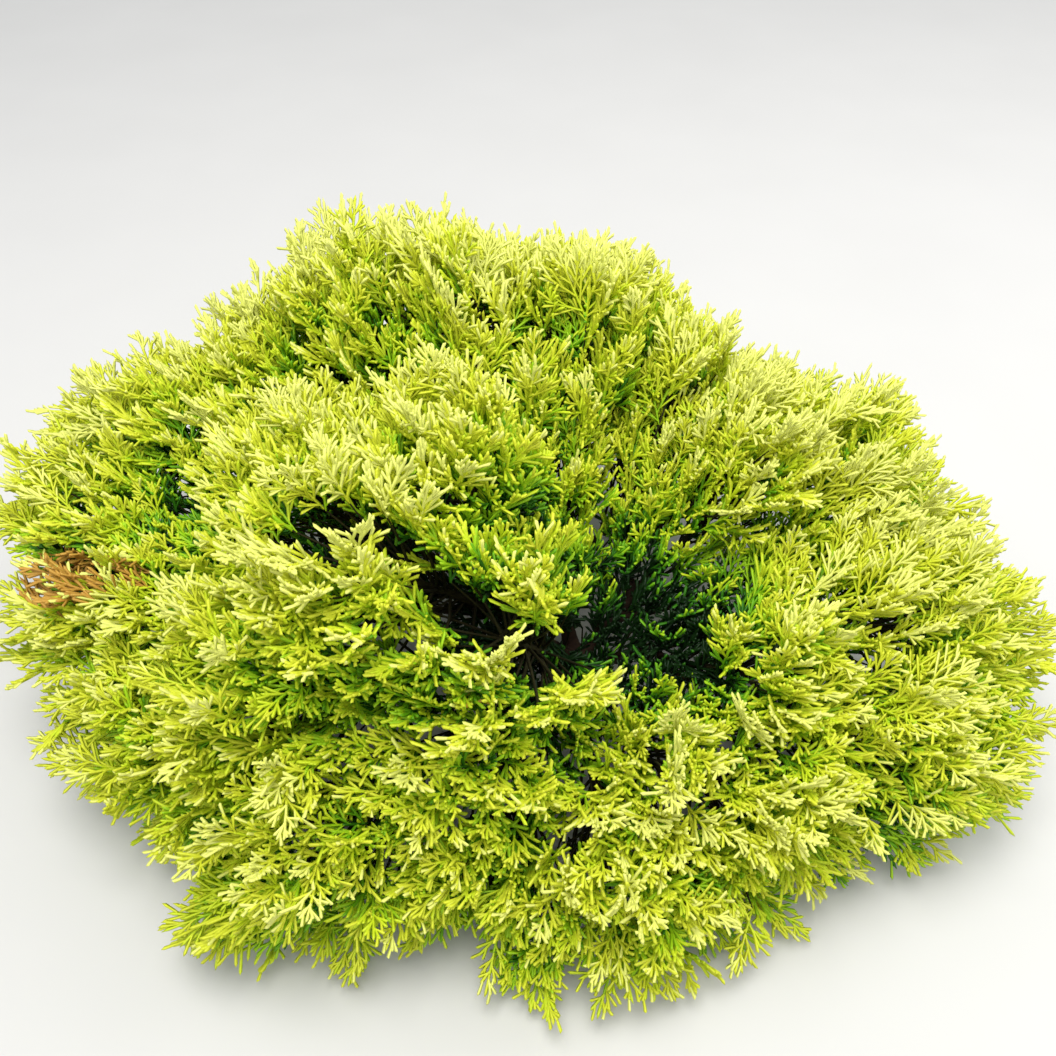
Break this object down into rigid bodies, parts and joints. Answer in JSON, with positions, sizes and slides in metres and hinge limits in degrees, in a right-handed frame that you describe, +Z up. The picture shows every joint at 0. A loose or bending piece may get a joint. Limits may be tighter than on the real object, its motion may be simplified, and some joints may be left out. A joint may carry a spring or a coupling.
{
  "type": "golden spreading juniper shrub",
  "caption": "Low, wide golden juniper with a short hidden stem, arching boughs and feathery masses of scale-leaf sprays, rooted in the ground.",
  "frame": {"origin": "middle of the flat cut under the stem, at ground level", "axes": "+Z up, +X to the plant's right side, -Y towards its front, the side that the picture was taken from"},
  "size_m": [0.7481, 0.5489, 0.3097],
  "materials": {
    "bark": "rough, thin flaking red-brown bark",
    "foliage": "golden yellow-green scale leaves with a soft waxy sheen"
  },
  "bodies": {
    "root": {"stem": "bark", "bough_right": "bark", "bough_front_right": "bark", "bough_front": "bark", "bough_front_left": "bark", "bough_left": "bark", "bough_back_left": "bark", "bough_back": "bark", "bough_back_right": "bark", "bough_top_left": "bark", "bough_mound_left": "bark", "bough_right_front": "bark", "bough_right_back": "bark", "bough_slope_right": "bark", "bough_slope_far": "bark", "bough_front_middle": "bark", "bough_slope_front": "bark", "bough_slope_left": "bark", "bough_left_front": "bark", "bough_left_back": "bark", "bough_upper_left": "bark", "bough_low_back_left": "bark", "bough_low_back_right": "bark", "bough_top_back": "bark", "bough_top_middle": "bark", "bough_top_right": "bark", "bough_mound_front": "bark", "bough_inner_left": "bark", "bough_centre": "bark", "bough_inner_right": "bark", "foliage_right": "foliage", "foliage_front_right": "foliage", "foliage_front": "foliage", "foliage_front_left": "foliage", "foliage_left": "foliage", "foliage_back_left": "foliage", "foliage_back": "foliage", "foliage_back_right": "foliage", "foliage_top_left": "foliage", "foliage_mound_left": "foliage", "foliage_right_front": "foliage", "foliage_right_back": "foliage", "foliage_slope_right": "foliage", "foliage_slope_far": "foliage", "foliage_front_middle": "foliage", "foliage_slope_front": "foliage", "foliage_slope_left": "foliage", "foliage_left_front": "foliage", "foliage_left_back": "foliage", "foliage_upper_left": "foliage", "foliage_low_back_left": "foliage", "foliage_low_back_right": "foliage", "foliage_top_back": "foliage", "foliage_top_middle": "foliage", "foliage_top_right": "foliage", "foliage_mound_front": "foliage", "foliage_inner_left": "foliage", "foliage_centre": "foliage", "foliage_inner_right": "foliage"}
  },
  "joints": []
}
